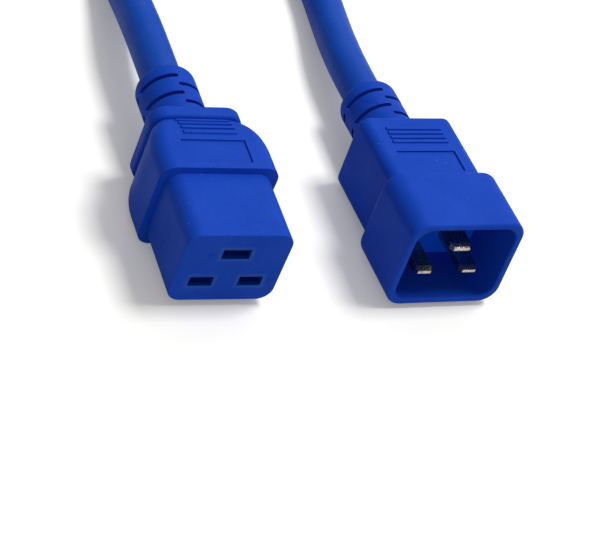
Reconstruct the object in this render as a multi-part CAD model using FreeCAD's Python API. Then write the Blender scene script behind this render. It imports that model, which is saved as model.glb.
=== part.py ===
import FreeCAD, Part
import math
import os

# Power cord set with a C19 connector on one end and a C20 plug on the other.
# Millimetres. The connector lies along Y: its nose points to -Y, its cord leaves to +Y, the
# earth slot is at the top (+Z). The origin is on the surface it lies on, under its middle.
# The plug lies beside it on the same surface, and the spare cord is wound in a coil behind.

V = FreeCAD.Vector

# ---- contact layout, shared by both ends ----
LINE_PITCH = 13.0          # line pin to neutral pin
EARTH_RISE = 9.5           # earth row above the line and neutral row
ROW_DROP = 4.6             # line and neutral row below the axis of the connector

# ---- cord ----
CORD_D = 10.8              # over the jacket
CORE_D = 3.8               # over a core's insulation
WIRE_D = 2.4               # stranded conductor
CORE_RING_R = 2.3          # core centres from the cord's centre
CORE_IN_JACKET = 4.0       # length of each core inside the jacket's cut end
JACKET_INSERT = 18.0       # jacket inside the moulded cord grip
CORE_LEAD = 0.2            # straight share of a core's way at each end

# ---- moulded cord grip, the same on both ends ----
GRIP_D = 16.0
GRIP_LENGTH = 20.8
GRIP_ROUND = 3.5           # radius that rounds the grip's rear end
GROOVE_W = 1.2
GROOVE_FLOOR_D = 12.0      # across the floors of the grooves
GROOVE_PITCH = 6.3         # from groove to groove on one side
GROOVE_REACH = 0.5         # how far the left grooves pass the centre line
GROOVE_REACH_RIGHT = 0.2
GROOVE_BAR = 0.8           # half height of the bar left between upper and lower grooves
LAST_GROOVE = 5.7          # last groove's centre, before the grip's rear end
LEFT_GROOVES = 3
RIGHT_GROOVES = 2

# ---- connector body ----
NOSE_W = 28.0
NOSE_H = 23.0
NOSE_R = 4.0
NOSE_LENGTH = 20.7
NOSE_EDGE_R = 0.4
SHOULDER_W = 31.5
SHOULDER_H = 26.8
SHOULDER_R = 4.0
SHOULDER_STRAIGHT = 6.8    # parallel sides behind the shoulder's front
CROWN_STRAIGHT = 10.8      # flat top behind the shoulder's front
BODY_LENGTH = 19.3         # shoulder's front to the flange
WAIST_W = 22.5             # across the narrowest place, at the flange
WAIST_H = 21.8
FLANGE_W = 24.8
FLANGE_H = 24.0
FLANGE_T = 4.2
FLANGE_R = 4.5
FLANGE_EDGE_R = 1.2

# ---- finger ribs and label recess ----
RIB_COUNT = 4
RIB_W = 1.0
RIB_H = 0.45
RIB_ROOT = 0.6             # part of each rib that is inside the body
RIB_EDGE_R = 0.25
RIB_PITCH = 2.0
CONNECTOR_RIB_LENGTH = 14.2
CONNECTOR_RIB_START = 1.5  # along the curved top, from where it starts to fall
PLUG_RIB_LENGTH = 16.2
PLUG_RIB_PITCH = 1.7
RIB_PANEL_GAP = 3.5        # plug: first rib behind the recess
PANEL_W = 17.2
PANEL_LENGTH = 7.8
PANEL_DEPTH = 0.45
PANEL_SETBACK = 2.0        # behind the shoulder's front, and behind the plug's step

# ---- contact slots and the carrier behind them ----
SLOT_W = 6.2
EARTH_SLOT_W = 7.4
SLOT_H = 3.16
COLLAR_T = 0.9             # wall of the carrier's collar round each slot
FRONT_WALL = 1.6           # overmould in front of the carrier
CARRIER_WALL_W = 1.7       # carrier outside the line and neutral contacts
CARRIER_WALL_H = 2.47      # carrier above the earth contact and below the others
CARRIER_R = 2.0
CARRIER_TAIL = 7.2         # carrier behind the contacts' sleeves
CONTACT_T = 0.5            # brass strip
CONTACT_MOUTH = 2.8        # mouth of each contact behind the nose's front
CONTACT_SLEEVE = 12.0      # length of the folded sleeve
CONTACT_GRIP = 0.4         # how far the sleeve's leaves close on the pin from each side
CONTACT_SEAM = 0.5
LEAF_START = 2.0           # spring leaves, from the sleeve's mouth
LEAF_RAMP = 3.0            # slope that leads a pin in
LEAF_FLAT = 2.0            # length on which they press on the pin
LEAF_END_GAP = 1.0         # before the sleeve's rear end
NECK_W = 2.6
NECK_LENGTH = 3.0
BARREL_D = 3.6             # crimp barrel, the same on contacts and pins
BARREL_LENGTH = 7.0
WIRE_END = 0.6             # bare wire left free in front of the barrel
OVERLAP = 1.0              # how far joined or cut shapes run past one another

# ---- plug body ----
SHROUD_WALL_W = 1.95       # wall on the left and right of the cavity
SHROUD_WALL_H = 1.85       # wall above and below it
SHROUD_R = 5.0
SHROUD_LENGTH = 21.0
SHROUD_RIM_R = 0.85
SHROUD_MOUTH_R = 0.5
SHROUD_REAR_R = 2.2
CAVITY_GAP_W = 0.7         # cavity wider than the connector's nose
CAVITY_GAP_H = 0.5
CAVITY_DEPTH = 17.0
PLUG_BODY_W = 27.2
PLUG_BODY_H = 22.6
PLUG_BODY_R = 3.0
PLUG_BODY_REAR_R = 1.2
PLUG_BODY_LENGTH = 44.5    # rim to the rear face of the body

# ---- pins ----
PIN_W = 4.9
EARTH_PIN_W = 5.7
PIN_T = 2.0
PIN_SETBACK = 2.4          # line and neutral tips behind the rim
EARTH_PIN_SETBACK = 0.5
PIN_TIP_LENGTH = 1.45
PIN_TIP_INSET = 0.6
PIN_BEHIND_BLOCK = 1.0     # pin's flat part behind the pin carrier
PIN_PLATE_T = 2.5          # flange of the pin carrier, behind the cavity's floor
PIN_BLOCK_WALL_W = 2.05    # block outside the line and neutral pins
PIN_BLOCK_WALL_H = 2.25    # block above the earth pin and below the others
PIN_BLOCK_R = 1.5
PIN_BLOCK_LENGTH = 5.5
PIN_TAIL = 0.5             # solid end between the flat part and the barrel's bore

# ---- places that follow from the sizes ----
SHOULDER_Y = NOSE_LENGTH
WAIST_Y = SHOULDER_Y + BODY_LENGTH
FLANGE_REAR = WAIST_Y + FLANGE_T
CONNECTOR_LENGTH = FLANGE_REAR + GRIP_LENGTH
CONNECTOR_AXIS_Z = SHOULDER_H / 2.0
CONNECTOR_FRONT_Y = -CONNECTOR_LENGTH / 2.0
CARRIER_W = LINE_PITCH + SLOT_W + 2 * CONTACT_T + 2 * CARRIER_WALL_W
CARRIER_H = EARTH_RISE + SLOT_H + 2 * CONTACT_T + 2 * CARRIER_WALL_H
CARRIER_REAR = CONTACT_MOUTH + CONTACT_SLEEVE + CARRIER_TAIL
CAVITY_W = NOSE_W + CAVITY_GAP_W
CAVITY_H = NOSE_H + CAVITY_GAP_H
CAVITY_R = NOSE_R + CAVITY_GAP_H / 2.0
SHROUD_W = CAVITY_W + 2 * SHROUD_WALL_W
SHROUD_H = CAVITY_H + 2 * SHROUD_WALL_H
PLUG_LENGTH = PLUG_BODY_LENGTH + GRIP_LENGTH
PIN_BLOCK_W = LINE_PITCH + PIN_W + 2 * PIN_BLOCK_WALL_W
PIN_BLOCK_H = EARTH_RISE + PIN_T + 2 * PIN_BLOCK_WALL_H
PIN_REAR = CAVITY_DEPTH + PIN_PLATE_T + PIN_BLOCK_LENGTH + PIN_BEHIND_BLOCK

# ---- where the plug lies, and the cord's route ----
PLUG_X = 61.2
PLUG_RIM_Y = -33.2
PLUG_YAW = 1.5             # degrees, turned anticlockwise seen from above
PLUG_TILT = 4.0            # degrees, nose up: it rests on its shroud's rear edge and its cord
CORD_Z = CORD_D / 2.0 + 0.1
COIL_TURN_R = 61.0         # middle of the turns
COIL_LAYERS = 2
COIL_X = 34.0
COIL_Y = 173.0
COIL_CORNER_R = CORD_D / 2.0
STRAP_T = 1.2
STRAP_W = 16.0


# ---------------------------------------------------------------- shared shapes
def rounded_outline(width, height, radius, y):
    """Rectangle with rounded corners in the XZ plane at y, as a wire round the Y axis."""
    a = width / 2.0
    b = height / 2.0
    k = radius * (1.0 - math.sqrt(0.5))
    edges = []
    for sx, sz in ((1, 1), (-1, 1), (-1, -1), (1, -1)):
        side = V(sx * a, y, sz * (b - radius))
        middle = V(sx * (a - k), y, sz * (b - k))
        flat = V(sx * (a - radius), y, sz * b)
        edges.append(Part.Arc(side, middle, flat).toShape())
    for sign in (1, -1):
        edges.append(Part.LineSegment(V(radius - a, y, sign * b), V(a - radius, y, sign * b)).toShape())
        edges.append(Part.LineSegment(V(sign * a, y, radius - b), V(sign * a, y, b - radius)).toShape())
    return Part.Wire(Part.__sortEdges__(edges))


def rounded_bar(width, height, radius, y0, y1, x=0.0, z=0.0):
    """Bar along Y from y0 to y1 with a rounded rectangular section."""
    face = Part.Face(rounded_outline(width, height, radius, y0))
    solid = face.extrude(V(0, y1 - y0, 0))
    solid.translate(V(x, 0, z))
    return solid


def bar(width, height, y0, y1, x=0.0, z=0.0):
    """Plain rectangular bar along Y, centred on x and z."""
    return Part.makeBox(width, y1 - y0, height, V(x - width / 2.0, y0, z - height / 2.0))


def rod(diameter, y0, y1, x=0.0, z=0.0):
    """Round bar along Y."""
    return Part.makeCylinder(diameter / 2.0, y1 - y0, V(x, y0, z), V(0, 1, 0))


def edges_at(shape, y):
    """All the edges of a shape that lie in the plane across Y at y."""
    return [e for e in shape.Edges if all(abs(v.Y - y) < 1e-6 for v in e.Vertexes)]


def route_edges(points, label=None):
    """Straight runs joined by tangent arcs; each arc is as large as its two runs allow."""
    edges = []
    radii = []
    last = points[0]
    for before, corner, after in zip(points, points[1:], points[2:]):
        back = (before - corner).normalize()
        ahead = (after - corner).normalize()
        half_turn = (math.pi - back.getAngle(ahead)) / 2.0
        shorter = min((before - corner).Length, (after - corner).Length)
        setback = 0.45 * shorter
        radius = setback / math.tan(half_turn)
        radii.append(radius)
        start = corner + back * setback
        end = corner + ahead * setback
        inward = (back + ahead).normalize()
        middle = corner + inward * (radius / math.cos(half_turn) - radius)
        edges.append(Part.LineSegment(last, start).toShape())
        edges.append(Part.Arc(start, middle, end).toShape())
        last = end
    edges.append(Part.LineSegment(last, points[-1]).toShape())
    if label:
        print(label, "radii", [round(r, 1) for r in radii])
    return edges


def single(shape):
    """The one solid of a boolean result."""
    solids = shape.Solids
    if len(solids) != 1:
        print("expected one solid, found", len(solids))
    return solids[0]


def merge(first, others):
    """Fuse solids into one and clear the seams between faces of one surface."""
    return single(first.multiFuse(others).removeSplitter())


def round_sweep(points, diameter, label=None):
    """Round bar along a route: a cylinder on each straight run, part of a torus on each arc."""
    edges = route_edges(points, label)
    pieces = []
    for edge in edges:
        start = edge.valueAt(edge.FirstParameter)
        circle = Part.Circle(start, edge.tangentAt(edge.FirstParameter), diameter / 2.0)
        disc = Part.Face(Part.Wire([circle.toShape()]))
        if isinstance(edge.Curve, Part.Circle):
            turn = math.degrees(edge.LastParameter - edge.FirstParameter)
            pieces.append(disc.revolve(edge.Curve.Center, edge.Curve.Axis, turn))
        else:
            pieces.append(disc.extrude(edge.valueAt(edge.LastParameter) - start))
    solid = merge(pieces[0], pieces[1:])
    if label:
        length = sum(edge.Length for edge in edges)
        expected = math.pi * diameter * diameter / 4.0 * length
        print(label, "length", round(length, 1), "volume ratio", round(solid.Volume / expected, 4))
    return solid


def contact_places():
    """Name, x and z of the three contacts, seen from the axis."""
    return [
        ("line", -LINE_PITCH / 2.0, -ROW_DROP),
        ("neutral", LINE_PITCH / 2.0, -ROW_DROP),
        ("earth", 0.0, EARTH_RISE - ROW_DROP),
    ]


# ---------------------------------------------------------------- cord grip, cores, jacket
def grip_blank(y0):
    """Round cord grip behind y0, turned from a profile with a rounded rear end."""
    r = GRIP_D / 2.0
    end_r = CORD_D / 2.0
    y1 = y0 + GRIP_LENGTH
    centre_r = r - GRIP_ROUND
    reach = math.sqrt(GRIP_ROUND ** 2 - (end_r - centre_r) ** 2)
    centre_y = y1 - reach
    half = math.atan2(reach, end_r - centre_r) / 2.0
    middle = V(centre_r + GRIP_ROUND * math.cos(half), centre_y + GRIP_ROUND * math.sin(half), 0)
    outline = [
        Part.LineSegment(V(0, y0, 0), V(r, y0, 0)).toShape(),
        Part.LineSegment(V(r, y0, 0), V(r, centre_y, 0)).toShape(),
        Part.Arc(V(r, centre_y, 0), middle, V(end_r, y1, 0)).toShape(),
        Part.LineSegment(V(end_r, y1, 0), V(0, y1, 0)).toShape(),
        Part.LineSegment(V(0, y1, 0), V(0, y0, 0)).toShape(),
    ]
    return Part.Face(Part.Wire(outline)).revolve(V(0, 0, 0), V(0, 1, 0), 360)


def grip_groove(y, side, up):
    """Cutter for one flexing groove: a ring sector from the bar at the side to the top."""
    outer = rod(GRIP_D + 2.0, y - GROOVE_W / 2.0, y + GROOVE_W / 2.0)
    ring = outer.cut(rod(GROOVE_FLOOR_D, y - GROOVE_W, y + GROOVE_W))
    reach = GROOVE_REACH if side < 0 else GROOVE_REACH_RIGHT
    round_x = -side * (reach - GROOVE_W / 2.0)
    height = GRIP_D
    slot = Part.makeCylinder(GROOVE_W / 2.0, height, V(round_x, y, GROOVE_BAR), V(0, 0, 1))
    low_x = min(round_x, side * GRIP_D)
    slot = slot.fuse(Part.makeBox(abs(side * GRIP_D - round_x), GROOVE_W, height,
                                  V(low_x, y - GROOVE_W / 2.0, GROOVE_BAR)))
    cutter = ring.common(slot)
    if up < 0:
        cutter = cutter.mirror(V(0, 0, 0), V(0, 0, 1))
    return cutter


def grip_grooves(grip_end):
    """Two staggered rows of grooves, the same above and below."""
    cutters = []
    for up in (1, -1):
        for i in range(LEFT_GROOVES):
            cutters.append(grip_groove(grip_end - LAST_GROOVE - i * GROOVE_PITCH, -1, up))
        for i in range(RIGHT_GROOVES):
            cutters.append(grip_groove(grip_end - LAST_GROOVE - (i + 0.5) * GROOVE_PITCH, 1, up))
    return cutters


def core_route(name, x, z, start_y, jacket_y):
    """A core runs straight back from its crimp, leans in to the cord and enters the jacket."""
    angle = math.radians({"line": 210, "neutral": 330, "earth": 90}[name])
    inner_x = CORE_RING_R * math.cos(angle)
    inner_z = CORE_RING_R * math.sin(angle)
    lead = CORE_LEAD * (jacket_y - start_y)
    return [
        V(x, start_y, z),
        V(x, start_y + lead, z),
        V(inner_x, jacket_y - lead, inner_z),
        V(inner_x, jacket_y + CORE_IN_JACKET, inner_z),
    ]


def cord_end(prefix, wire_y, crimp_y, end_y):
    """The stripped end of the cord inside a moulding: wires, insulated cores and jacket."""
    nodes = {}
    jacket_y = end_y - JACKET_INSERT
    cores = []
    for name, x, z in contact_places():
        route = core_route(name, x, z, crimp_y, jacket_y)
        core = round_sweep(route, CORE_D)
        wire = merge(round_sweep(route, WIRE_D), [rod(WIRE_D, wire_y, crimp_y, x, z)])
        nodes[prefix + name + "_core"] = single(core.cut(wire))
        nodes[prefix + name + "_wire"] = wire
        cores.append(core)
    jacket = rod(CORD_D, jacket_y, end_y)
    nodes[prefix + "jacket_end"] = single(jacket.cut(cores[0].multiFuse(cores[1:])))
    hidden = cores + [rod(CORD_D, jacket_y, end_y + 1.0)]
    return nodes, hidden


# ---------------------------------------------------------------- ribs and recess
def rib(length):
    """One finger rib at the origin, its root below z = 0, its top edges rounded."""
    solid = Part.makeBox(length, RIB_W, RIB_ROOT + RIB_H, V(-length / 2.0, -RIB_W / 2.0, -RIB_ROOT))
    top = [e for e in solid.Edges if all(abs(v.Z - RIB_H) < 1e-6 for v in e.Vertexes)]
    return solid.makeFillet(RIB_EDGE_R, top)


def label_recess(y0, top_z):
    """Cutter for the shallow bare recess on the top face."""
    return Part.makeBox(PANEL_W, PANEL_LENGTH, PANEL_DEPTH + 5.0,
                        V(-PANEL_W / 2.0, y0, top_z - PANEL_DEPTH))


# ---------------------------------------------------------------- connector
def crown_radius():
    """Radius of the curve on which the body's top falls from the crown to the waist."""
    run = BODY_LENGTH - CROWN_STRAIGHT
    drop = (SHOULDER_H - WAIST_H) / 2.0
    return (run * run + drop * drop) / (2.0 * drop)


def waisted_body():
    """Shoulder that narrows on an arc to the waist, in plan and, more gently, in side view."""
    a = SHOULDER_W / 2.0
    b = WAIST_W / 2.0
    y0 = SHOULDER_Y
    y1 = y0 + SHOULDER_STRAIGHT
    y2 = WAIST_Y
    radius = ((y2 - y1) ** 2 + (a - b) ** 2) / (2.0 * (a - b))
    half = math.asin((y2 - y1) / radius) / 2.0
    mid_x = a - radius * (1.0 - math.cos(half))
    mid_y = y1 + radius * math.sin(half)
    plan = Part.Wire([
        Part.LineSegment(V(-a, y0, 0), V(a, y0, 0)).toShape(),
        Part.LineSegment(V(a, y0, 0), V(a, y1, 0)).toShape(),
        Part.Arc(V(a, y1, 0), V(mid_x, mid_y, 0), V(b, y2, 0)).toShape(),
        Part.LineSegment(V(b, y2, 0), V(-b, y2, 0)).toShape(),
        Part.Arc(V(-b, y2, 0), V(-mid_x, mid_y, 0), V(-a, y1, 0)).toShape(),
        Part.LineSegment(V(-a, y1, 0), V(-a, y0, 0)).toShape(),
    ])
    blank = Part.Face(plan).extrude(V(0, 0, SHOULDER_H))
    blank.translate(V(0, 0, -SHOULDER_H / 2.0))

    c = SHOULDER_H / 2.0
    d = WAIST_H / 2.0
    fall_y = y0 + CROWN_STRAIGHT
    r = crown_radius()
    half = math.asin((y2 - fall_y) / r) / 2.0
    mid_z = c - r * (1.0 - math.cos(half))
    mid_y = fall_y + r * math.sin(half)
    side = Part.Wire([
        Part.LineSegment(V(0, y0, -c), V(0, y0, c)).toShape(),
        Part.LineSegment(V(0, y0, c), V(0, fall_y, c)).toShape(),
        Part.Arc(V(0, fall_y, c), V(0, mid_y, mid_z), V(0, y2, d)).toShape(),
        Part.LineSegment(V(0, y2, d), V(0, y2, -d)).toShape(),
        Part.Arc(V(0, y2, -d), V(0, mid_y, -mid_z), V(0, fall_y, -c)).toShape(),
        Part.LineSegment(V(0, fall_y, -c), V(0, y0, -c)).toShape(),
    ])
    profile = Part.Face(side).extrude(V(SHOULDER_W + 2.0, 0, 0))
    profile.translate(V(-SHOULDER_W / 2.0 - 1.0, 0, 0))
    body = blank.common(profile)
    long_edges = []
    for edge in body.Edges:
        ys = [v.Y for v in edge.Vertexes]
        zs = [abs(v.Z) for v in edge.Vertexes]
        xs = [abs(v.X) for v in edge.Vertexes]
        if max(ys) - min(ys) > 1.0 and min(zs) > d - 1e-6 and min(xs) > b - 1e-6:
            long_edges.append(edge)
    return body.makeFillet(SHOULDER_R, long_edges)


def flange():
    """Finger flange across the rear of the body, with rounded corners and rims."""
    plate = rounded_bar(FLANGE_W, FLANGE_H, FLANGE_R, WAIST_Y, FLANGE_REAR)
    return plate.makeFillet(FLANGE_EDGE_R, edges_at(plate, WAIST_Y) + edges_at(plate, FLANGE_REAR))


def connector_ribs():
    """Ribs square to the falling top, evenly spaced along its curve."""
    r = crown_radius()
    centre_y = SHOULDER_Y + CROWN_STRAIGHT
    centre_z = SHOULDER_H / 2.0 - r
    ribs = []
    for i in range(RIB_COUNT):
        angle = (CONNECTOR_RIB_START + i * RIB_PITCH) / r
        solid = rib(CONNECTOR_RIB_LENGTH)
        solid.rotate(V(0, 0, 0), V(1, 0, 0), -math.degrees(angle))
        solid.translate(V(0, centre_y + r * math.sin(angle), centre_z + r * math.cos(angle)))
        ribs.append(solid)
    return ribs


def slot_width(name):
    return EARTH_SLOT_W if name == "earth" else SLOT_W


def contact_carrier():
    """Moulded block in the nose: a collar round each slot and a through cavity behind it."""
    block = rounded_bar(CARRIER_W, CARRIER_H, CARRIER_R, FRONT_WALL, CARRIER_REAR)
    collars = []
    openings = []
    for name, x, z in contact_places():
        w = slot_width(name)
        collars.append(bar(w + 2 * COLLAR_T, SLOT_H + 2 * COLLAR_T, 0.0, FRONT_WALL + 1.0, x, z))
        openings.append(bar(w, SLOT_H, -1.0, CONTACT_MOUTH, x, z))
        openings.append(bar(w + 2 * CONTACT_T, SLOT_H + 2 * CONTACT_T,
                            CONTACT_MOUTH, CARRIER_REAR + 1.0, x, z))
    outside = merge(block, collars)
    return outside, single(outside.cut(openings[0].multiFuse(openings[1:])))


def spring_leaf(width, side, y0):
    """One leaf pressed inward from the sleeve's floor (side -1) or roof (side 1)."""
    base = side * SLOT_H / 2.0
    crest = base - side * CONTACT_GRIP
    y1 = y0 + LEAF_START
    y2 = y1 + LEAF_RAMP
    profile = Part.makePolygon([V(0, y1, base), V(0, y2, crest), V(0, y2 + LEAF_FLAT, crest),
                                V(0, y0 + CONTACT_SLEEVE - LEAF_END_GAP, base), V(0, y1, base)])
    leaf = Part.Face(profile).extrude(V(width, 0, 0))
    leaf.translate(V(-width / 2.0, 0, 0))
    return leaf


def receptacle(name, x, z):
    """Contact folded from brass strip: open sleeve with spring leaves, neck and crimp barrel."""
    w = slot_width(name)
    y0 = CONTACT_MOUTH
    y1 = y0 + CONTACT_SLEEVE
    y2 = y1 + NECK_LENGTH
    y3 = y2 + BARREL_LENGTH
    outer = bar(w + 2 * CONTACT_T, SLOT_H + 2 * CONTACT_T, y0, y1)
    sleeve = outer.cut(bar(w, SLOT_H, y0 - OVERLAP, y1 + OVERLAP))
    roof_z = (SLOT_H + CONTACT_T) / 2.0
    sleeve = sleeve.cut(bar(CONTACT_SEAM, 2 * CONTACT_T, y0 - OVERLAP, y1 + OVERLAP, z=roof_z))
    pieces = []
    for side in (1, -1):
        for offset in (-w / 4.0, w / 4.0):
            pieces.append(spring_leaf(w / 4.0, side, y0).translated(V(offset, 0, 0)))
    neck_z = -(SLOT_H + CONTACT_T) / 2.0
    pieces.append(bar(NECK_W, CONTACT_T, y1 - OVERLAP, y2 + CONTACT_T / 2.0, z=neck_z))
    top = -WIRE_D / 4.0
    bottom = neck_z - CONTACT_T / 2.0
    web = bar(NECK_W, top - bottom, y2 - CONTACT_T / 2.0, y2 + CONTACT_T / 2.0, z=(top + bottom) / 2.0)
    pieces.append(web)
    pieces.append(rod(BARREL_D, y2, y3))
    contact = merge(sleeve, pieces)
    contact = single(contact.cut(rod(WIRE_D, y2 - OVERLAP, y3 + OVERLAP)))
    contact.translate(V(x, 0, z))
    return contact, y2, y3


def build_connector():
    """All the nodes of the connector end, along +Y from the nose's front at y = 0."""
    carrier_outside, carrier = contact_carrier()
    nodes = {"contact_carrier": carrier}
    crimps = []
    for name, x, z in contact_places():
        nodes[name + "_contact"], barrel_y, crimp_y = receptacle(name, x, z)
        crimps.append(rod(BARREL_D, CARRIER_REAR - 1.0, crimp_y, x, z))
    inner, hidden = cord_end("connector_", barrel_y - WIRE_END, crimp_y, CONNECTOR_LENGTH)
    nodes.update(inner)

    nose = rounded_bar(NOSE_W, NOSE_H, NOSE_R, 0.0, SHOULDER_Y + 1.0)
    nose = nose.makeFillet(NOSE_EDGE_R, edges_at(nose, 0.0))
    shell = merge(nose, [waisted_body(), flange(), grip_blank(FLANGE_REAR)])
    shell = shell.multiFuse(connector_ribs())
    recess = label_recess(SHOULDER_Y + PANEL_SETBACK, SHOULDER_H / 2.0)
    for cutter in grip_grooves(CONNECTOR_LENGTH) + [recess, carrier_outside] + crimps + hidden:
        shell = shell.cut(cutter)
    nodes["connector_overmould"] = single(shell)
    return nodes


# ---------------------------------------------------------------- plug
def plug_pin(name, x, z):
    """Flat pin with a chamfered tip and a crimp barrel on its tail."""
    w = EARTH_PIN_W if name == "earth" else PIN_W
    tip_y = EARTH_PIN_SETBACK if name == "earth" else PIN_SETBACK
    tip_w = w - 2 * PIN_TIP_INSET
    tip_t = PIN_T - 2 * PIN_TIP_INSET
    full_y = tip_y + PIN_TIP_LENGTH
    sections = []
    for y, width, height in ((tip_y, tip_w, tip_t), (full_y, w, PIN_T)):
        section = Part.makePlane(width, height, V(-width / 2.0, y, height / 2.0), V(0, 1, 0), V(1, 0, 0))
        sections.append(section.OuterWire)
    tip = Part.makeLoft(sections, True, True)
    blade = bar(w, PIN_T, full_y, PIN_REAR)
    crimp_y = PIN_REAR + BARREL_LENGTH
    barrel = rod(BARREL_D, PIN_REAR - PIN_TAIL, crimp_y)
    barrel = barrel.cut(rod(WIRE_D, PIN_REAR + PIN_TAIL, crimp_y + 1.0))
    pin = single(merge(blade, [tip, barrel]))
    pin.translate(V(x, 0, z))
    return pin, PIN_REAR + PIN_TAIL, crimp_y


def pin_carrier():
    """Moulded bridge that holds the pins: a flange that closes the cavity, and a block."""
    plate_rear = CAVITY_DEPTH + PIN_PLATE_T
    plate = rounded_bar(CAVITY_W, CAVITY_H, CAVITY_R, CAVITY_DEPTH, plate_rear)
    block = rounded_bar(PIN_BLOCK_W, PIN_BLOCK_H, PIN_BLOCK_R, plate_rear - 1.0,
                        plate_rear + PIN_BLOCK_LENGTH)
    outside = merge(plate, [block])
    holes = []
    for name, x, z in contact_places():
        w = EARTH_PIN_W if name == "earth" else PIN_W
        holes.append(bar(w, PIN_T, CAVITY_DEPTH - 1.0, plate_rear + PIN_BLOCK_LENGTH + 1.0, x, z))
    return outside, single(outside.cut(holes[0].multiFuse(holes[1:])))


def plug_ribs():
    """Straight ribs on the flat top of the plug's body."""
    first_y = SHROUD_LENGTH + PANEL_SETBACK + PANEL_LENGTH + RIB_PANEL_GAP
    ribs = []
    for i in range(RIB_COUNT):
        solid = rib(PLUG_RIB_LENGTH)
        solid.translate(V(0, first_y + i * PLUG_RIB_PITCH, PLUG_BODY_H / 2.0))
        ribs.append(solid)
    return ribs


def build_plug():
    """All the nodes of the plug end, along +Y from the shroud's rim at y = 0."""
    carrier_outside, carrier = pin_carrier()
    nodes = {"pin_carrier": carrier}
    pins = []
    for name, x, z in contact_places():
        pin, bore_y, crimp_y = plug_pin(name, x, z)
        nodes[name + "_pin"] = pin
        pins += [pin, rod(BARREL_D, PIN_REAR, crimp_y, x, z)]
    inner, hidden = cord_end("plug_", bore_y, crimp_y, PLUG_LENGTH)
    nodes.update(inner)

    shroud = rounded_bar(SHROUD_W, SHROUD_H, SHROUD_R, 0.0, SHROUD_LENGTH)
    shroud = shroud.makeFillet(SHROUD_RIM_R, edges_at(shroud, 0.0))
    shroud = shroud.makeFillet(SHROUD_REAR_R, edges_at(shroud, SHROUD_LENGTH))
    body = rounded_bar(PLUG_BODY_W, PLUG_BODY_H, PLUG_BODY_R, CAVITY_DEPTH, PLUG_BODY_LENGTH)
    body = body.makeFillet(PLUG_BODY_REAR_R, edges_at(body, PLUG_BODY_LENGTH))
    shell = merge(shroud, [body, grip_blank(PLUG_BODY_LENGTH)])
    shell = shell.multiFuse(plug_ribs())
    recess = label_recess(SHROUD_LENGTH + PANEL_SETBACK, PLUG_BODY_H / 2.0)
    shell = shell.cut(rounded_bar(CAVITY_W, CAVITY_H, CAVITY_R, 0.0, CAVITY_DEPTH))
    mouth = [e for e in edges_at(shell, 0.0) if abs(e.CenterOfMass.x) <= CAVITY_W / 2.0
             and abs(e.CenterOfMass.z) <= CAVITY_H / 2.0]
    shell = shell.makeFillet(SHROUD_MOUTH_R, mouth)
    for cutter in grip_grooves(PLUG_LENGTH) + [recess, carrier_outside] + pins + hidden:
        shell = shell.cut(cutter)
    nodes["plug_overmould"] = single(shell)
    return nodes


# ---------------------------------------------------------------- cord and coil
def plug_placement():
    """Where the plug lies: tilted about the rounded rear edge of its shroud, which is on z = 0."""
    turn = FreeCAD.Rotation(V(0, 0, 1), PLUG_YAW).multiply(FreeCAD.Rotation(V(1, 0, 0), -PLUG_TILT))
    edge_centre = turn.multVec(V(0, SHROUD_LENGTH - SHROUD_REAR_R, SHROUD_REAR_R - SHROUD_H / 2.0))
    return FreeCAD.Placement(V(PLUG_X, PLUG_RIM_Y, SHROUD_REAR_R - edge_centre.z), turn)


def coil_section(extra, angle, start_angle):
    """Section of the coil, grown by extra, turned about the coil's upright axis."""
    side = COIL_LAYERS * CORD_D + 2 * extra
    outline = rounded_outline(side, side, COIL_CORNER_R + extra, 0.0)
    outline.translate(V(COIL_TURN_R, 0, STRAP_T + COIL_LAYERS * CORD_D / 2.0))
    solid = Part.Face(outline).revolve(V(0, 0, 0), V(0, 0, 1), angle)
    solid.rotate(V(0, 0, 0), V(0, 0, 1), start_angle)
    solid.translate(V(COIL_X, COIL_Y, 0))
    return solid


def build_cord():
    """The free cord: a run from each end to the coil, the coil and its strap."""
    exit_1 = V(0, CONNECTOR_LENGTH / 2.0, CONNECTOR_AXIS_Z)
    route_1 = [
        exit_1,
        exit_1 + V(0, 18.5, 0),
        V(1.8, 78.5, CORD_Z),
        V(3.4, 99.0, CORD_Z),
        V(2.0, 119.0, 9.0),
    ]
    plug = plug_placement()
    route_2 = [
        plug.multVec(V(0, PLUG_LENGTH, 0)),
        plug.multVec(V(0, PLUG_LENGTH + 19.0, 0)),
        V(62.0, 79.5, CORD_Z),
        V(64.5, 99.5, CORD_Z),
        V(66.0, 119.0, 9.0),
    ]
    coil = coil_section(0.0, 360.0, 0.0)
    band_angle = math.degrees(STRAP_W / COIL_TURN_R)
    band = coil_section(STRAP_T, band_angle, 90.0 - band_angle / 2.0)
    return {
        "cord_from_connector": single(round_sweep(route_1, CORD_D, "connector side").cut(coil)),
        "cord_to_plug": single(round_sweep(route_2, CORD_D, "plug side").cut(coil)),
        "cord_coil": coil,
        "coil_strap": single(band.cut(coil)),
    }


def write_parts():
    """Place every piece and write one STEP file for each."""
    os.makedirs("parts", exist_ok=True)
    placed = {}
    for name, shape in build_connector().items():
        placed[name] = shape.translated(V(0, CONNECTOR_FRONT_Y, CONNECTOR_AXIS_Z))
    for name, shape in build_plug().items():
        placed[name] = shape.transformed(plug_placement().toMatrix(), True)
    placed.update(build_cord())
    for name, shape in placed.items():
        print(name, shape.ShapeType, shape.isValid(), round(shape.Volume, 1))
        shape.exportStep("parts/%s.step" % name)


write_parts()
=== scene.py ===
import math
import bmesh
import bpy
import numpy as np
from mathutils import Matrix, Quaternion, Vector


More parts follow.
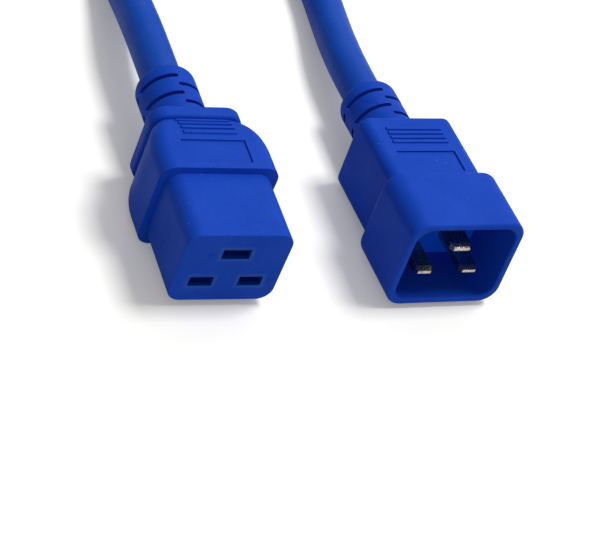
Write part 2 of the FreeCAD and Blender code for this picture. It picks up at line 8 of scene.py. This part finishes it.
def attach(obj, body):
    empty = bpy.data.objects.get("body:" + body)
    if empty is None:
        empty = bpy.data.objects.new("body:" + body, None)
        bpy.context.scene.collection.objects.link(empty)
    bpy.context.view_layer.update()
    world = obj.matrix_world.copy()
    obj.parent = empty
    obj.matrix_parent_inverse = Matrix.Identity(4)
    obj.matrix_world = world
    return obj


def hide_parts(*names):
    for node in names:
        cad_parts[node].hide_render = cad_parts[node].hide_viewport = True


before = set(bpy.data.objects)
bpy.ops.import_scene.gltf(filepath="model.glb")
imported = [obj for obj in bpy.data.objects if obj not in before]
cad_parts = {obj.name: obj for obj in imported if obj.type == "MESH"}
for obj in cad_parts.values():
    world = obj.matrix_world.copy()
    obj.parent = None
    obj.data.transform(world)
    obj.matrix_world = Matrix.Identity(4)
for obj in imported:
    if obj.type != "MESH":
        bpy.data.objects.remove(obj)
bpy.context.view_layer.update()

# Power cord set: C19 connector, blue three-core cord, C20 plug. Metres, in the CAD model's frame:
# the connector's slots face -Y, and its cord leaves towards +Y.


# ------------------------------------------------------------------ connector and plug mouldings
# Each end is one injection moulding of soft blue PVC, shot over the contacts and the stripped cord.
# The tool is lightly spark-eroded, so the skin is semi-matt with a fine grain, a slightly uneven
# sheen where hands have rubbed it, and a few specks of dust.
ripple_mm = 5.0
ripple_depth = 0.00012
rubbed_mm = 14.0
rubbed_glossier, rubbed_duller = 0.05, 0.07
dull_specular = 0.12
cloud_mm = 9.0
cloud_detail = 4.0
dust_mm = 0.9
dust_colour = "#6f86bd"
dust_from, dust_to, dust_share = 0.86, 0.90, 0.5
# Most of a noise lies between these two values.
noise_low, noise_high = 0.3, 0.7
# Sockets of a colour mix: its share, its two colours and its result.
mix_share, mix_first, mix_second, mix_result = 0, 6, 7, 2


def linear(hex_colour):
    """sRGB hex text to linear RGBA: each channel c becomes ((c + 0.055) / 1.055) ** 2.4."""
    channels = [int(hex_colour[i:i + 2], 16) / 255 for i in (1, 3, 5)]
    return [c / 12.92 if c <= 0.04045 else ((c + 0.055) / 1.055) ** 2.4 for c in channels] + [1.0]


def add_node(tree, kind, settings=None, inputs=None):
    """Add a shader node: a setting is an attribute, an input is a value or another's socket."""
    node = tree.nodes.new(kind)
    for name, value in (settings or {}).items():
        setattr(node, name, value)
    for name, value in (inputs or {}).items():
        if isinstance(value, bpy.types.NodeSocket):
            tree.links.new(value, node.inputs[name])
        else:
            node.inputs[name].default_value = value
    return node


def new_material(name):
    """Empty node material with its output node."""
    material = bpy.data.materials.new(name)
    material.use_nodes = True
    material.node_tree.nodes.clear()
    return material, add_node(material.node_tree, "ShaderNodeOutputMaterial")


def plastic_skin(name, grain_mm, depth_mm, roughness):
    """Plastic still without its colour: pits of a fine grain on a faint ripple, as bump, and a
    gloss that wanders where it is rubbed. Real grain is 0.1 to 0.2 mm across, and is drawn coarser
    so that it shows. Gives the material, its shader, the place on the piece and the pits."""
    material, output = new_material(name)
    tree = material.node_tree
    place = add_node(tree, "ShaderNodeTexCoord").outputs["Object"]
    pits, ripple, rubbed = [
        add_node(tree, "ShaderNodeTexNoise", {}, {
            "Vector": place, "Scale": 1000.0 / size_mm}).outputs["Fac"]
        for size_mm in (grain_mm, ripple_mm, rubbed_mm)]
    grain = add_node(tree, "ShaderNodeBump", {}, {
        "Height": pits, "Distance": depth_mm / 1000.0, "Strength": 1.0})
    uneven = add_node(tree, "ShaderNodeBump", {}, {
        "Height": ripple, "Distance": ripple_depth, "Strength": 1.0,
        "Normal": grain.outputs["Normal"]})
    wear = add_node(tree, "ShaderNodeMapRange", {}, {
        "Value": rubbed, "From Min": noise_low, "From Max": noise_high,
        "To Min": roughness - rubbed_glossier, "To Max": roughness + rubbed_duller})
    shader = add_node(tree, "ShaderNodeBsdfPrincipled", {}, {
        "Specular IOR Level": dull_specular, "Roughness": wear.outputs["Result"],
        "Normal": uneven.outputs["Normal"]})
    tree.links.new(shader.outputs["BSDF"], output.inputs["Surface"])
    return material, shader, place, pits


def dyed_plastic(name, light, dark, grain_mm, depth_mm, roughness, dusty):
    """Plastic in two close shades of its dye: the darker one comes in clouds, and in the pits as
    painted shade, half and half. Dust lies on it as a few pale specks, where one more noise is
    highest."""
    material, shader, place, pits = plastic_skin(name, grain_mm, depth_mm, roughness)
    tree = material.node_tree
    clouds = add_node(tree, "ShaderNodeTexNoise", {}, {
        "Vector": place, "Scale": 1000.0 / cloud_mm, "Detail": cloud_detail}).outputs["Fac"]
    # The darker shade in the pits is painted shade; in the clouds it is the dye's own uneven tone.
    cloud_share, pit_painted_shade = [
        add_node(tree, "ShaderNodeMapRange", {}, {
            "Value": value, "From Min": noise_low, "From Max": noise_high,
            "To Min": low, "To Max": high}).outputs["Result"]
        for value, low, high in ((clouds, 0.0, 0.5), (pits, 0.5, 0.0))]
    shade = add_node(tree, "ShaderNodeMath", {"operation": "ADD"}, {0: cloud_share, 1: pit_painted_shade})
    colour = add_node(tree, "ShaderNodeMix", {"data_type": "RGBA"}, {
        mix_share: shade.outputs["Value"], mix_first: linear(light), mix_second: linear(dark)})
    if dusty:
        dust = add_node(tree, "ShaderNodeTexNoise", {}, {
            "Vector": place, "Scale": 1000.0 / dust_mm, "Detail": 0.0})
        specks = add_node(tree, "ShaderNodeMapRange", {}, {
            "Value": dust.outputs["Fac"], "From Min": dust_from, "From Max": dust_to,
            "To Min": 0.0, "To Max": dust_share})
        colour = add_node(tree, "ShaderNodeMix", {"data_type": "RGBA"}, {
            mix_share: specks.outputs["Result"], mix_first: colour.outputs[mix_result],
            mix_second: linear(dust_colour)})
    tree.links.new(colour.outputs[mix_result], shader.inputs["Base Color"])
    return material


def dress(node, material):
    """Put a material on the CAD node's own mesh, which keeps its stored normals."""
    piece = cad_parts[node]
    piece.data.materials.clear()
    piece.data.materials.append(material)


# PVC off a spark-eroded tool is semi-matt: its highlights are broad and dull, and painted shade in
# the pits gives the flat faces a faint darker stipple.
moulded_pvc = dyed_plastic("PVC, moulded, spark-eroded skin", "#0f4ac6", "#0941b6",
                           grain_mm=0.6, depth_mm=0.03, roughness=0.62, dusty=True)
for node in ("connector_overmould", "plug_overmould"):
    dress(node, moulded_pvc)


# ------------------------------------------------------------------ earth, line and neutral marks
# Shallow raised strokes on the connector's front, moulded with it: the earth sign beside the upper
# slot and a plain L and N beside the lower ones. They come from shallow cuts in the tool.
front_y = -0.0325
stroke_w = 0.00032
stroke_h = 0.00012
stroke_columns = 16
ball_rows = 4
weld_distance = 1e-6
# A stroke goes from one point to another, in X and Z from the middle of its mark.
earth_sign = [((0, 0.0011), (0, 0.0001)), ((-0.0010, 0.0001), (0.0010, 0.0001)),
              ((-0.00062, -0.0005), (0.00062, -0.0005)), ((-0.00025, -0.0011), (0.00025, -0.0011))]
letter_l = [((-0.0004, 0.0008), (-0.0004, -0.0008)), ((-0.0004, -0.0008), (0.0005, -0.0008))]
letter_n = [((-0.0005, -0.0008), (-0.0005, 0.0008)), ((-0.0005, 0.0008), (0.0005, -0.0008)),
            ((0.0005, -0.0008), (0.0005, 0.0008))]
marks = ((earth_sign, (-0.0066, 0.0184)), (letter_l, (-0.0120, 0.0088)),
         (letter_n, (0.0120, 0.0088)))


def raised_stroke(start, end, centre):
    """Bar with ball ends on the front: its section is the ellipse (stroke_w / 2 * cos t, stroke_h *
    sin t), and in the ends both shrink by sqrt(1 - e ** 2), where e is how far in the end a point
    is. The lower half of the ellipse lies inside the moulding."""
    start = np.array(start)
    run = np.array(end) - start
    length = np.hypot(*run)
    ahead = run / length
    beside = np.array([-ahead[1], ahead[0]])
    half = stroke_w / 2
    into_end = np.radians(np.linspace(-90, 90, 2 * ball_rows + 1))
    first_end, last_end = into_end[:ball_rows + 1], into_end[ball_rows:]
    along = np.concatenate([half * np.sin(first_end), length + half * np.sin(last_end)])
    scale = np.concatenate([np.cos(first_end), np.cos(last_end)])[:, None]
    t = np.linspace(0, math.tau, stroke_columns, endpoint=False)
    plan = (start + centre + along[:, None, None] * ahead
            + (half * scale * np.cos(t))[..., None] * beside)
    return np.stack([plan[..., 0], front_y - stroke_h * scale * np.sin(t), plan[..., 1]], -1)


def tube_faces(rows, columns, first=0):
    """Quads of a rows by columns grid of points whose last column joins the first."""
    row = np.arange(rows - 1)[:, None]
    column = np.arange(columns)[None, :]
    after = (column + 1) % columns
    corners = np.stack([row * columns + column, row * columns + after,
                        (row + 1) * columns + after, (row + 1) * columns + column], -1)
    return first + corners.reshape(-1, 4)


def surface(name, points, faces, material, uv=None):
    """Smooth-shaded closed object from point and face arrays. Points that meet at an end become
    one, faces are turned outwards, and uv gives a place on the surface to each corner."""
    mesh = bpy.data.meshes.new(name)
    mesh.from_pydata(points.reshape(-1, 3), [], faces.tolist())
    if uv is not None:
        mesh.uv_layers.new(name="surface").uv.foreach_set("vector", uv.astype(np.float32).ravel())
    shell = bmesh.new()
    shell.from_mesh(mesh)
    bmesh.ops.remove_doubles(shell, verts=shell.verts, dist=weld_distance)
    bmesh.ops.recalc_face_normals(shell, faces=shell.faces)
    shell.to_mesh(mesh)
    shell.free()
    mesh.shade_smooth()
    mesh.materials.append(material)
    piece = bpy.data.objects.new(name, mesh)
    bpy.context.scene.collection.objects.link(piece)
    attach(piece, "root")
    return piece


strokes = []
for mark, centre in marks:
    strokes += [raised_stroke(start, end, centre) for start, end in mark]
rows, columns = strokes[0].shape[:2]
stroke_faces = [tube_faces(rows, columns, k * rows * columns) for k in range(len(strokes))]
surface("front_marks", np.concatenate(strokes), np.concatenate(stroke_faces),
        moulded_pvc)


# ------------------------------------------------------------------ contact carriers
# Moulded blocks of harder nylon that hold the contacts and the pins. Of the receptacles' block only
# three collars show, flush with the nose's front; the pins' block closes the floor of the cavity.
collar_edge = 0.0001


def slot_nylon(name, collar, shaded_wall, shade_depth_mm, grain_mm, depth_mm, roughness):
    """Nylon whose colour goes from the collar's colour to the darker wall colour over a depth
    behind the front, along the object's own Y: painted shade that darkens the slot's walls deeper
    in."""
    material, shader, place, _ = plastic_skin(name, grain_mm, depth_mm, roughness)
    tree = material.node_tree
    apart = add_node(tree, "ShaderNodeSeparateXYZ", {}, {"Vector": place})
    # Painted shade: the colour darkens with depth behind the front, as shade falls in the slots.
    painted_shade = add_node(tree, "ShaderNodeMapRange", {}, {
        "Value": apart.outputs["Y"], "To Min": 0.0, "To Max": 1.0,
        "From Min": front_y + collar_edge, "From Max": front_y + shade_depth_mm / 1000.0})
    colour = add_node(tree, "ShaderNodeMix", {"data_type": "RGBA"}, {
        mix_share: painted_shade.outputs["Result"], mix_first: linear(collar), mix_second: linear(shaded_wall)})
    tree.links.new(colour.outputs[mix_result], shader.inputs["Base Color"])
    return material


# Nylon off a polished tool is glossier than the PVC round it, and a little greener. Painted shade
# darkens each slot to navy inside, which leaves a thin bright frame at the front.
dress("contact_carrier", slot_nylon("nylon, moulded", "#024cb8", "#042c9e", shade_depth_mm=1.5,
                                    grain_mm=0.5, depth_mm=0.01, roughness=0.36))
# The same nylon painted a brighter blue: painted light, so that the cavity's floor looks lit behind
# the pins.
dress("pin_carrier", dyed_plastic("nylon, moulded, blue, painted light", "#0455e2", "#044ed4",
                                  grain_mm=0.5, depth_mm=0.01, roughness=0.36, dusty=False))


# ------------------------------------------------------------------ receptacles
# Folded from half-millimetre brass strip: an open sleeve with spring leaves that grip a pin, a neck
# and a crimp barrel. They are pushed into the carrier and lie dim behind the slots.
def plain_metal(name, colour, roughness):
    """Bare metal: metallic, default index, one roughness."""
    material, output = new_material(name)
    shader = add_node(material.node_tree, "ShaderNodeBsdfPrincipled", {}, {
        "Base Color": linear(colour), "Metallic": 1.0, "Roughness": roughness})
    material.node_tree.links.new(shader.outputs["BSDF"], output.inputs["Surface"])
    return material


# Rolled strip is smooth and bare, so it gives a soft yellow glint.
contact_brass = plain_metal("brass, rolled strip", "#c9a45c", 0.35)
for node in ("line_contact", "neutral_contact", "earth_contact"):
    dress(node, contact_brass)


# ------------------------------------------------------------------ pins
# Flat brass pins, 2 mm thick, drawn, chamfered at their tips and nickel plated. They stand in the
# carrier, and behind it a barrel on each tail is crimped to its core.
streak_w_mm = 1 / 6
streak_l_mm = 10 / 3
streak_glossier, streak_duller = 0.7, 1.5
pit_mm = 0.5
pit_detail = 3.0
pit_depth = 0.000005
tarnish_from, tarnish_to = 0.45, 0.7


def plated_pin(name, colour, pit_colour, roughness):
    """Nickel plate: metallic; fine streaks along the pin vary the roughness, and tarnish darkens
    the pits. Real pits are finer, and are drawn coarser so that they show."""
    material, output = new_material(name)
    tree = material.node_tree
    place = add_node(tree, "ShaderNodeTexCoord").outputs["Object"]
    along = add_node(tree, "ShaderNodeMapping", {}, {
        "Vector": place,
        "Scale": (1000.0 / streak_w_mm, 1000.0 / streak_l_mm, 1000.0 / streak_w_mm)})
    streaks = add_node(tree, "ShaderNodeTexNoise", {}, {
        "Vector": along.outputs["Vector"], "Scale": 1.0})
    drawn = add_node(tree, "ShaderNodeMapRange", {}, {
        "Value": streaks.outputs["Fac"], "From Min": noise_low, "From Max": noise_high,
        "To Min": roughness * streak_glossier, "To Max": roughness * streak_duller})
    pits = add_node(tree, "ShaderNodeTexNoise", {}, {
        "Vector": place, "Scale": 1000.0 / pit_mm, "Detail": pit_detail}).outputs["Fac"]
    tarnish = add_node(tree, "ShaderNodeMapRange", {}, {
        "Value": pits, "From Min": tarnish_from, "From Max": tarnish_to,
        "To Min": 0.0, "To Max": 1.0})
    plate = add_node(tree, "ShaderNodeMix", {"data_type": "RGBA"}, {
        mix_share: tarnish.outputs["Result"], mix_first: linear(colour),
        mix_second: linear(pit_colour)})
    bump = add_node(tree, "ShaderNodeBump", {}, {
        "Height": pits, "Distance": pit_depth, "Strength": 1.0})
    shader = add_node(tree, "ShaderNodeBsdfPrincipled", {}, {
        "Base Color": plate.outputs[mix_result], "Metallic": 1.0,
        "Roughness": drawn.outputs["Result"], "Normal": bump.outputs["Normal"]})
    tree.links.new(shader.outputs["BSDF"], output.inputs["Surface"])
    return material


# Nickel gives a warm bright reflection, drawn out along the pin and broken by duller pits.
pin_nickel = plated_pin("brass, nickel plated", "#bfb5a8", "#7d746b", 0.22)
for node in ("line_pin", "neutral_pin", "earth_pin"):
    dress(node, pin_nickel)


# ------------------------------------------------------------------ free cord
# Three-core cord with a round jacket of extruded PVC, 10.8 mm over the jacket. It leaves each grip
# level, sinks to the surface, and the spare length is wound into a coil with four strands.
cord_d = 0.0108
coil_centre = np.array([0.034, 0.173])
ring_r = 0.0606
ring_z = 0.0120
strand_r = 0.0078
lead_bend_r = 0.054
left_x, left_z = 0.0032, 0.0058
right_x, right_z = 0.0638, 0.0054
strand_low_z = ring_z - cord_d / 2
full_laps = 3
turn_points = 36
bend_points = 4
change_window = math.radians(124.0)
change_draw_in = 0.0025
change_lift = 0.0013
from_connector = [(0.0, 0.0325, 0.0134), (0.0, 0.0430, 0.0134), (0.0004, 0.0540, 0.0126),
                  (0.0014, 0.0650, 0.0102), (0.0025, 0.0760, 0.0074)]
to_plug = [(0.0632, 0.0760, 0.0056), (0.0617, 0.0650, 0.0065), (0.0600, 0.0540, 0.0083),
           (0.05922, 0.0425, 0.00959), (0.059495, 0.031919, 0.010329)]


def join_angle(side, x):
    """Where a lead that runs along Y at x meets the winding: both bends turn by the same angle,
    acos((side * (x - centre) + lead_bend_r) / (outer radius + lead_bend_r))."""
    outer = ring_r + cord_d / 2
    return math.acos((side * (x - coil_centre[0]) + lead_bend_r) / (outer + lead_bend_r))


def lead_bend(side, x, z_outside, z_inside):
    """Arc of radius lead_bend_r from a lead at x to the winding, tangent to both; z is eased by
    s * s * (3 - 2 * s), where s is the share of the arc."""
    turn = join_angle(side, x)
    angle = np.linspace(0.0, turn, bend_points + 1)[:-1]
    outer = ring_r + cord_d / 2
    start_y = coil_centre[1] - (outer + lead_bend_r) * math.sin(turn)
    share = angle / turn
    eased = share * share * (3 - 2 * share)
    return np.stack([x + side * lead_bend_r * (1 - np.cos(angle)),
                     start_y + lead_bend_r * np.sin(angle),
                     z_outside + (z_inside - z_outside) * eased], 1)


def coil_points(turn_in, turn_out, laps):
    """Points of the winding, clockwise seen from above, from the left lead to the right lead.

    The four strands keep a square in the ring's section: a strand is strand_r from the section's
    middle at an angle that falls by 90 degrees, eased, in the window before the right lead leaves.
    Both leads so leave from the outer strand below. While the square turns on its corner the ring
    lifts and draws in a little, so that it stays above the surface and as wide as before. A
    quadratic spline with points a apart runs at (0.75 + 0.25 * cos a) of their radius, so they
    are set that much further out.
    """
    joined = math.pi + turn_in + turn_out
    total = math.tau * laps + joined
    travelled = np.linspace(0.0, total, round(total / math.tau * turn_points) + 1)
    lap = np.floor(travelled / math.tau + 1e-9)
    share = np.clip((travelled - lap * math.tau - joined + change_window) / change_window, 0, 1)
    eased = share * share * (3 - 2 * share)
    section = np.radians(-45.0 - 90.0 * (lap + eased))
    on_corner = np.sin(math.pi * eased) ** 2
    r = ring_r + strand_r * np.cos(section) - change_draw_in * on_corner
    r /= 0.75 + 0.25 * math.cos(travelled[1])
    z = ring_z + strand_r * np.sin(section) + change_lift * on_corner
    angle = math.pi + turn_in - travelled
    return np.stack([coil_centre[0] + r * np.cos(angle), coil_centre[1] + r * np.sin(angle), z], 1)


def cord_curve(name, points, diameter):
    """One quadratic NURBS through the route, with the jacket's round section."""
    curve = bpy.data.curves.new(name, "CURVE")
    curve.dimensions = "3D"
    line = curve.splines.new("NURBS")
    line.points.add(len(points) - 1)
    line.points.foreach_set("co", np.column_stack([points, np.ones(len(points))]).ravel())
    line.order_u = 3
    line.use_endpoint_u = True
    line.resolution_u = 8
    curve.bevel_depth = diameter / 2
    curve.bevel_resolution = 8
    curve.use_fill_caps = True
    piece = bpy.data.objects.new(name, curve)
    bpy.context.scene.collection.objects.link(piece)
    return piece


route = np.concatenate([
    from_connector,
    lead_bend(-1, left_x, left_z, strand_low_z),
    coil_points(join_angle(-1, left_x), join_angle(1, right_x), full_laps),
    lead_bend(1, right_x, right_z, strand_low_z)[::-1],
    to_plug,
])

# PVC straight from the extruder is smoother than the mouldings: a soft pale line follows the cord.
jacket_pvc = dyed_plastic("PVC, extruded", "#1650be", "#0e47b0",
                          grain_mm=0.9, depth_mm=0.03, roughness=0.50, dusty=True)
cord = cord_curve("cord", route, cord_d)
cord.data.materials.append(jacket_pvc)
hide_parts("cord_from_connector", "cord_to_plug", "cord_coil")
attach(cord, "root")


# ------------------------------------------------------------------ coil strap
# Black hook-and-loop tape, 16 mm wide. It starts on top of the coil, goes down the inside, under,
# up the outside, and its tongue with a round end is pressed down on its own start.
tape_w = 0.016
tape_t = 0.0011
tape_start = 0.002
tape_length = 0.102
tape_ring_r = 0.061
coil_side = 2 * cord_d
coil_corner = cord_d / 2
tape_columns = 24
tape_rows = 110
tongue_rows = 21
edge_power = 0.5
climb_length = 0.008
first_lift = 0.55
overlap_lift = 1.02


def coil_outline(distance, offset):
    """Point of the coil's section, a square of coil_side with round corners, at a distance along
    its outline from the middle of the top, and moved out by offset. First column is away from the
    coil's middle, second is up."""
    straight = coil_side - 2 * coil_corner
    corner = math.pi / 2 * coil_corner
    quarter = straight + corner
    turns = np.floor((distance + straight / 2) / quarter)
    rest = distance + straight / 2 - turns * quarter
    on_flat = np.minimum(rest, straight) - straight / 2
    bend = np.maximum(rest - straight, 0) / coil_corner
    reach = coil_corner + offset
    sideways = on_flat + reach * np.sin(bend)
    outward = straight / 2 + reach * np.cos(bend)
    turn = -turns * math.pi / 2
    return np.stack([-(sideways * np.cos(turn) - outward * np.sin(turn)),
                     sideways * np.sin(turn) + outward * np.cos(turn)], -1)


def tape_surface():
    """Closed tape, with the place of each point on it: distance runs along the outline, and the
    section is a flat superellipse (cos t ** edge_power, sin t ** edge_power). The tape's middle is
    first_lift of its thickness off the coil, and past one lap it climbs by overlap_lift more,
    eased. The start is cut square, and the half width ends as tape_w / 2 * cos a while the last
    half width of the length goes as sin a."""
    a = np.radians(np.linspace(0, 90, tongue_rows + 1)[1:])
    full_width = tape_length - tape_w / 2
    distance = np.concatenate([[0.0], np.linspace(0.0, full_width, tape_rows),
                               tape_length - tape_w / 2 * (1 - np.sin(a))])
    half_w = tape_w / 2 * np.concatenate([np.ones(tape_rows + 1), np.cos(a)])
    half_t = np.full(len(distance), tape_t / 2)
    half_t[0] = 0.0
    lap = 4 * (coil_side - 2 * coil_corner) + math.tau * coil_corner
    climb = np.clip((distance - lap + climb_length / 2) / climb_length, 0, 1)
    lift = tape_t * (first_lift + overlap_lift * climb * climb * (3 - 2 * climb))
    t = np.linspace(0, math.tau, tape_columns, endpoint=False)
    across = half_w[:, None] * np.sign(np.cos(t)) * np.abs(np.cos(t)) ** edge_power
    above = half_t[:, None] * np.sign(np.sin(t)) * np.abs(np.sin(t)) ** edge_power
    section = coil_outline(tape_start + distance[:, None], lift[:, None] + above)
    points = np.stack([coil_centre[0] + across, coil_centre[1] + tape_ring_r + section[..., 0],
                       ring_z + section[..., 1]], -1)
    return points, np.stack([np.broadcast_to(distance[:, None], across.shape), across], -1)


def woven_tape(name, colour, worn_colour, thread_mm, fuzz_mm, depth_mm):
    """Woven nylon tape: a plain weave of crossed threads and a fuzz as bump, laid out by UV in
    metres. A wave node's band is tau / 20 wide at scale 1. Real threads are about half as wide,
    and are drawn coarser so that they show."""
    material, output = new_material(name)
    tree = material.node_tree
    place = add_node(tree, "ShaderNodeTexCoord")
    threads = [
        add_node(tree, "ShaderNodeTexWave", {"bands_direction": direction}, {
            "Vector": place.outputs["UV"], "Scale": math.tau / 20 * 1000.0 / thread_mm})
        for direction in ("X", "Y")]
    weave = add_node(tree, "ShaderNodeMath", {"operation": "MULTIPLY"}, {
        0: threads[0].outputs["Fac"], 1: threads[1].outputs["Fac"]})
    fuzz = add_node(tree, "ShaderNodeTexNoise", {}, {
        "Vector": place.outputs["Object"], "Scale": 1000.0 / fuzz_mm}).outputs["Fac"]
    height = add_node(tree, "ShaderNodeMath", {"operation": "ADD"}, {
        0: weave.outputs["Value"], 1: fuzz})
    bump = add_node(tree, "ShaderNodeBump", {}, {
        "Height": height.outputs["Value"], "Distance": depth_mm / 1000.0, "Strength": 1.0})
    worn = add_node(tree, "ShaderNodeMix", {"data_type": "RGBA"}, {
        mix_share: fuzz, mix_first: linear(colour), mix_second: linear(worn_colour)})
    shader = add_node(tree, "ShaderNodeBsdfPrincipled", {}, {
        "Base Color": worn.outputs[mix_result], "Roughness": 0.9, "Specular IOR Level": 0.2,
        "Normal": bump.outputs["Normal"]})
    tree.links.new(shader.outputs["BSDF"], output.inputs["Surface"])
    return material


# Woven nylon scatters the light: near black without a highlight, and greyer where it is worn.
strap_nylon = woven_tape("nylon, hook-and-loop tape", "#131416", "#2c2d30",
                         thread_mm=0.7, fuzz_mm=0.25, depth_mm=0.12)
tape_points, tape_places = tape_surface()
tape_faces = tube_faces(*tape_points.shape[:2])
strap = surface("strap", tape_points, tape_faces, strap_nylon,
                tape_places.reshape(-1, 2)[tape_faces])
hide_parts("coil_strap")


# ------------------------------------------------------------------ stripped cord ends
# Inside each moulding the jacket is cut back and its three cores spread, with black, white and
# green PVC insulation. Their copper strands are bared at the end and crimped to a contact or pin.
def insulation(name, colour):
    """PVC insulation: plain, semi-gloss."""
    material, output = new_material(name)
    shader = add_node(material.node_tree, "ShaderNodeBsdfPrincipled", {}, {
        "Base Color": linear(colour), "Roughness": 0.38})
    material.node_tree.links.new(shader.outputs["BSDF"], output.inputs["Surface"])
    return material


# Extruded insulation has one clear highlight along the core.
core_finish = {
    "line": ("core_black", insulation("PVC insulation, black", "#1c1c1e")),
    "neutral": ("core_white", insulation("PVC insulation, white", "#e4e4de")),
    "earth": ("core_green", insulation("PVC insulation, green", "#1d7a34")),
}
# Fine bunched strands blur their reflections to a warm glow.
copper = plain_metal("copper, stranded", "#c77a4e", 0.4)
for side in ("connector", "plug"):
    dress(side + "_jacket_end", jacket_pvc)
    for core, (slot_name, material) in core_finish.items():
        dress("%s_%s_core" % (side, core), material)
        dress("%s_%s_wire" % (side, core), copper)

# Names of the pieces that go with the cord: the whole plug end and the strap.
on_cord = ["plug_overmould", "pin_carrier", "line_pin", "neutral_pin", "earth_pin", "strap",
           "plug_jacket_end"]
on_cord += ["plug_%s_%s" % (core, part) for core in core_finish for part in ("core", "wire")]


# ------------------------------------------------------------------ floor, light and camera
# The set lies on plain white card. One soft lamp stands high on the right, a wide one behind gives
# the tops of the mouldings their pale sheen, and a weak fill stands in front.
floor_half = 3.0
world_strength = 0.25


def white_card(name, colour, bounce_colour, lift):
    """White card: full white to the eye and in reflections, lifted by a little light of its own,
    and mid grey to the light that it sends back."""
    material, output = new_material(name)
    tree = material.node_tree
    path = add_node(tree, "ShaderNodeLightPath")
    seen = path.outputs["Is Camera Ray"]
    for ray in ("Is Glossy Ray", "Is Transmission Ray"):
        seen = add_node(tree, "ShaderNodeMath", {"operation": "MAXIMUM"}, {
            0: seen, 1: path.outputs[ray]}).outputs["Value"]
    face = add_node(tree, "ShaderNodeBsdfDiffuse", {}, {"Color": linear(colour)})
    glow = add_node(tree, "ShaderNodeEmission", {}, {"Color": linear(colour), "Strength": lift})
    lifted = add_node(tree, "ShaderNodeAddShader", {}, {
        0: face.outputs["BSDF"], 1: glow.outputs["Emission"]})
    bounce = add_node(tree, "ShaderNodeBsdfDiffuse", {}, {"Color": linear(bounce_colour)})
    mixed = add_node(tree, "ShaderNodeMixShader", {}, {
        0: seen, 1: bounce.outputs["BSDF"], 2: lifted.outputs["Shader"]})
    tree.links.new(mixed.outputs["Shader"], output.inputs["Surface"])
    return material


floor_mesh = bpy.data.meshes.new("floor")
floor_mesh.from_pydata([(-floor_half, -floor_half, 0), (floor_half, -floor_half, 0),
                        (floor_half, floor_half, 0), (-floor_half, floor_half, 0)],
                       [], [(0, 1, 2, 3)])
floor = bpy.data.objects.new("floor", floor_mesh)
bpy.context.scene.collection.objects.link(floor)
# Matt card, a little warm, keeps the shadow under the blue plastic near a neutral grey.
floor.data.materials.append(white_card("card, white", "#fffefa", "#bcbcbc", 0.20))

world = bpy.data.worlds.new("studio")
world.use_nodes = True
backdrop = world.node_tree.nodes["Background"]
backdrop.inputs["Color"].default_value = linear("#ffffff")
backdrop.inputs["Strength"].default_value = world_strength
bpy.context.scene.world = world

for name, place, aim, size, power in (
        ("key", (0.52, 0.06, 1.24), (0.03, 0.0, 0.0), 0.38, 10.8),
        ("sheen", (0.59, 0.83, 0.84), (0.03, 0.0, 0.02), 1.2, 4.0),
        ("fill", (-0.12, -1.0, 0.22), (0.03, 0.0, 0.01), 0.4, 1.6)):
    light = bpy.data.lights.new(name, "AREA")
    light.size = size
    light.energy = power
    lamp = bpy.data.objects.new(name, light)
    lamp.location = place
    lamp.rotation_mode = "QUATERNION"
    lamp.rotation_quaternion = (Vector(place) - Vector(aim)).to_track_quat("Z", "Y")
    bpy.context.scene.collection.objects.link(lamp)

camera = bpy.data.objects.new("camera", bpy.data.cameras.new("camera"))
camera.data.sensor_width = 36.0
camera.data.lens = 133.708
camera.data.clip_start = 0.01
camera.data.clip_end = 20.0
camera.location = (-0.213788, -0.362654, 0.378761)
camera.rotation_mode = "QUATERNION"
camera.rotation_quaternion = Quaternion((0.910990, 0.349758, -0.202657, -0.081835))
bpy.context.scene.collection.objects.link(camera)
bpy.context.scene.camera = camera
bpy.context.scene.view_settings.view_transform = "Standard"
